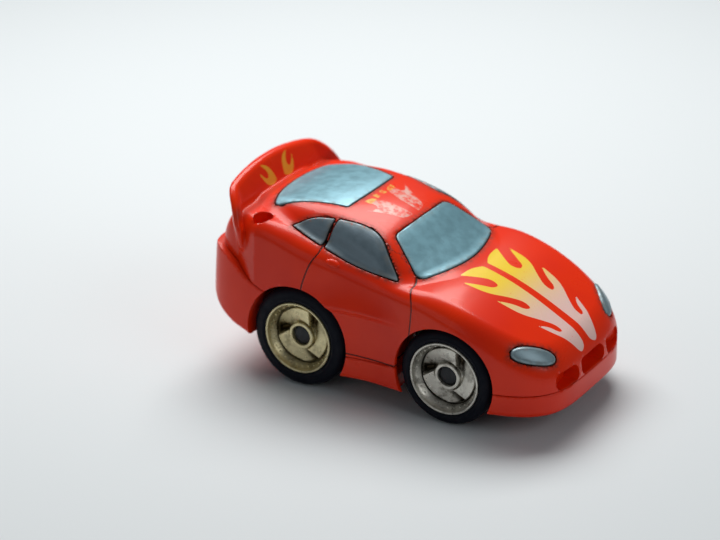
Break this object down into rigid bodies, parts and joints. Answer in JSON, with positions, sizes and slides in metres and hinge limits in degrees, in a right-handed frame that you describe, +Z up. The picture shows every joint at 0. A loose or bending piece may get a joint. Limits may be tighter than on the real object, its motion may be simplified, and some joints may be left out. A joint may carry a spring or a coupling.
{
  "type": "remote control car",
  "caption": "Palm-size remote control car: squashed coupe shell with rear wing on a chassis with geared drive and magnet steering.",
  "frame": {"origin": "on the ground under the middle of the car's outline", "axes": "+X towards the nose, +Y to the car's left, +Z up"},
  "size_m": [0.0724, 0.0393, 0.0367],
  "materials": {
    "red_shell": "gloss moulded ABS, orange red",
    "blue_grey_paint": "worn metallic blue-grey paint on plastic",
    "black_rubber": "smooth satin rubber",
    "silver_plate": "vacuum-plated silver",
    "gold_plate": "vacuum-plated pale gold",
    "black_plastic": "moulded",
    "white_plastic": "moulded acetal",
    "brass": "turned",
    "steel": "bright steel",
    "copper_wire": "enamelled winding wire",
    "cell_sleeve": "shrink sleeve",
    "green_board": "solder mask"
  },
  "bodies": {
    "car": {"body_shell": "red_shell", "lower_body": "red_shell", "windscreen": "blue_grey_paint", "rear_window": "blue_grey_paint", "door_window_right": "blue_grey_paint", "door_window_left": "blue_grey_paint", "quarter_window_right": "blue_grey_paint", "quarter_window_left": "blue_grey_paint", "headlight_right": "blue_grey_paint", "headlight_left": "blue_grey_paint", "chassis": "black_plastic", "body_screws": "steel", "motor_can": "steel", "motor_end_bell": "white_plastic", "motor_magnets": "steel", "motor_clamp": "black_plastic", "axle_bushes": "brass", "kingpins": "steel", "steering_plate": "black_plastic", "coil_bobbin": "black_plastic", "steering_coil": "copper_wire", "plate_screws": "steel", "battery": "cell_sleeve", "battery_contacts": "steel", "circuit_board": "green_board", "board_parts": "black_plastic", "radio_crystal": "steel", "switch_body": "steel", "charge_socket": "black_plastic"},
    "rear_wheels": {"rear_axle": "steel", "drive_gear": "white_plastic", "rear_rim_right": "gold_plate", "rear_rim_left": "gold_plate", "rear_tyre_right": "black_rubber", "rear_tyre_left": "black_rubber", "rear_cap_right": "black_plastic", "rear_cap_left": "black_plastic"},
    "rotor": {"motor_shaft": "steel", "armature": "steel", "pinion": "brass"},
    "knuckle_right": {"knuckle_right": "black_plastic", "stub_axle_right": "steel"},
    "knuckle_left": {"knuckle_left": "black_plastic", "stub_axle_left": "steel"},
    "front_wheel_right": {"front_rim_right": "silver_plate", "front_tyre_right": "black_rubber", "front_cap_right": "black_plastic"},
    "front_wheel_left": {"front_rim_left": "silver_plate", "front_tyre_left": "black_rubber", "front_cap_left": "black_plastic"},
    "tie_rod": {"tie_rod": "black_plastic", "steering_magnets": "steel"},
    "switch_slider": {"switch_slider": "black_plastic"}
  },
  "joints": [
    {"name": "rear_axle_spin", "type": "hinge", "parent": "car", "child": "rear_wheels", "pos_m": [-0.0153, 0, 0.0098], "axis": [0, 1, 0], "continuous": true},
    {"name": "motor_spin", "type": "hinge", "parent": "car", "child": "rotor", "pos_m": [-0.01006, 0, 0.01347], "axis": [0, 1, 0], "continuous": true},
    {"name": "steer_left", "type": "hinge", "parent": "car", "child": "knuckle_left", "pos_m": [0.0157, 0.0104, 0.0092], "axis": [0, 0, 1], "range_deg": [-12, 12]},
    {"name": "steer_right", "type": "hinge", "parent": "car", "child": "knuckle_right", "pos_m": [0.0157, -0.0104, 0.0092], "axis": [0, 0, 1], "range_deg": [-12, 12]},
    {"name": "tie_rod_slide", "type": "slide", "parent": "car", "child": "tie_rod", "axis": [0, 1, 0], "range_m": [-0.00105, 0.00105]},
    {"name": "front_left_spin", "type": "hinge", "parent": "knuckle_left", "child": "front_wheel_left", "pos_m": [0.0157, 0.0152, 0.0092], "axis": [0, 1, 0], "continuous": true},
    {"name": "front_right_spin", "type": "hinge", "parent": "knuckle_right", "child": "front_wheel_right", "pos_m": [0.0157, -0.0152, 0.0092], "axis": [0, 1, 0], "continuous": true},
    {"name": "switch_slide", "type": "slide", "parent": "car", "child": "switch_slider", "axis": [1, 0, 0], "range_m": [0, 0.0016]}
  ],
  "couplings": [
    {"joint": "motor_spin", "follows": "rear_axle_spin", "ratio": -3},
    {"joint": "steer_right", "follows": "steer_left", "ratio": 1},
    {"joint": "tie_rod_slide", "follows": "steer_left", "m_per_rad": -0.005}
  ]
}
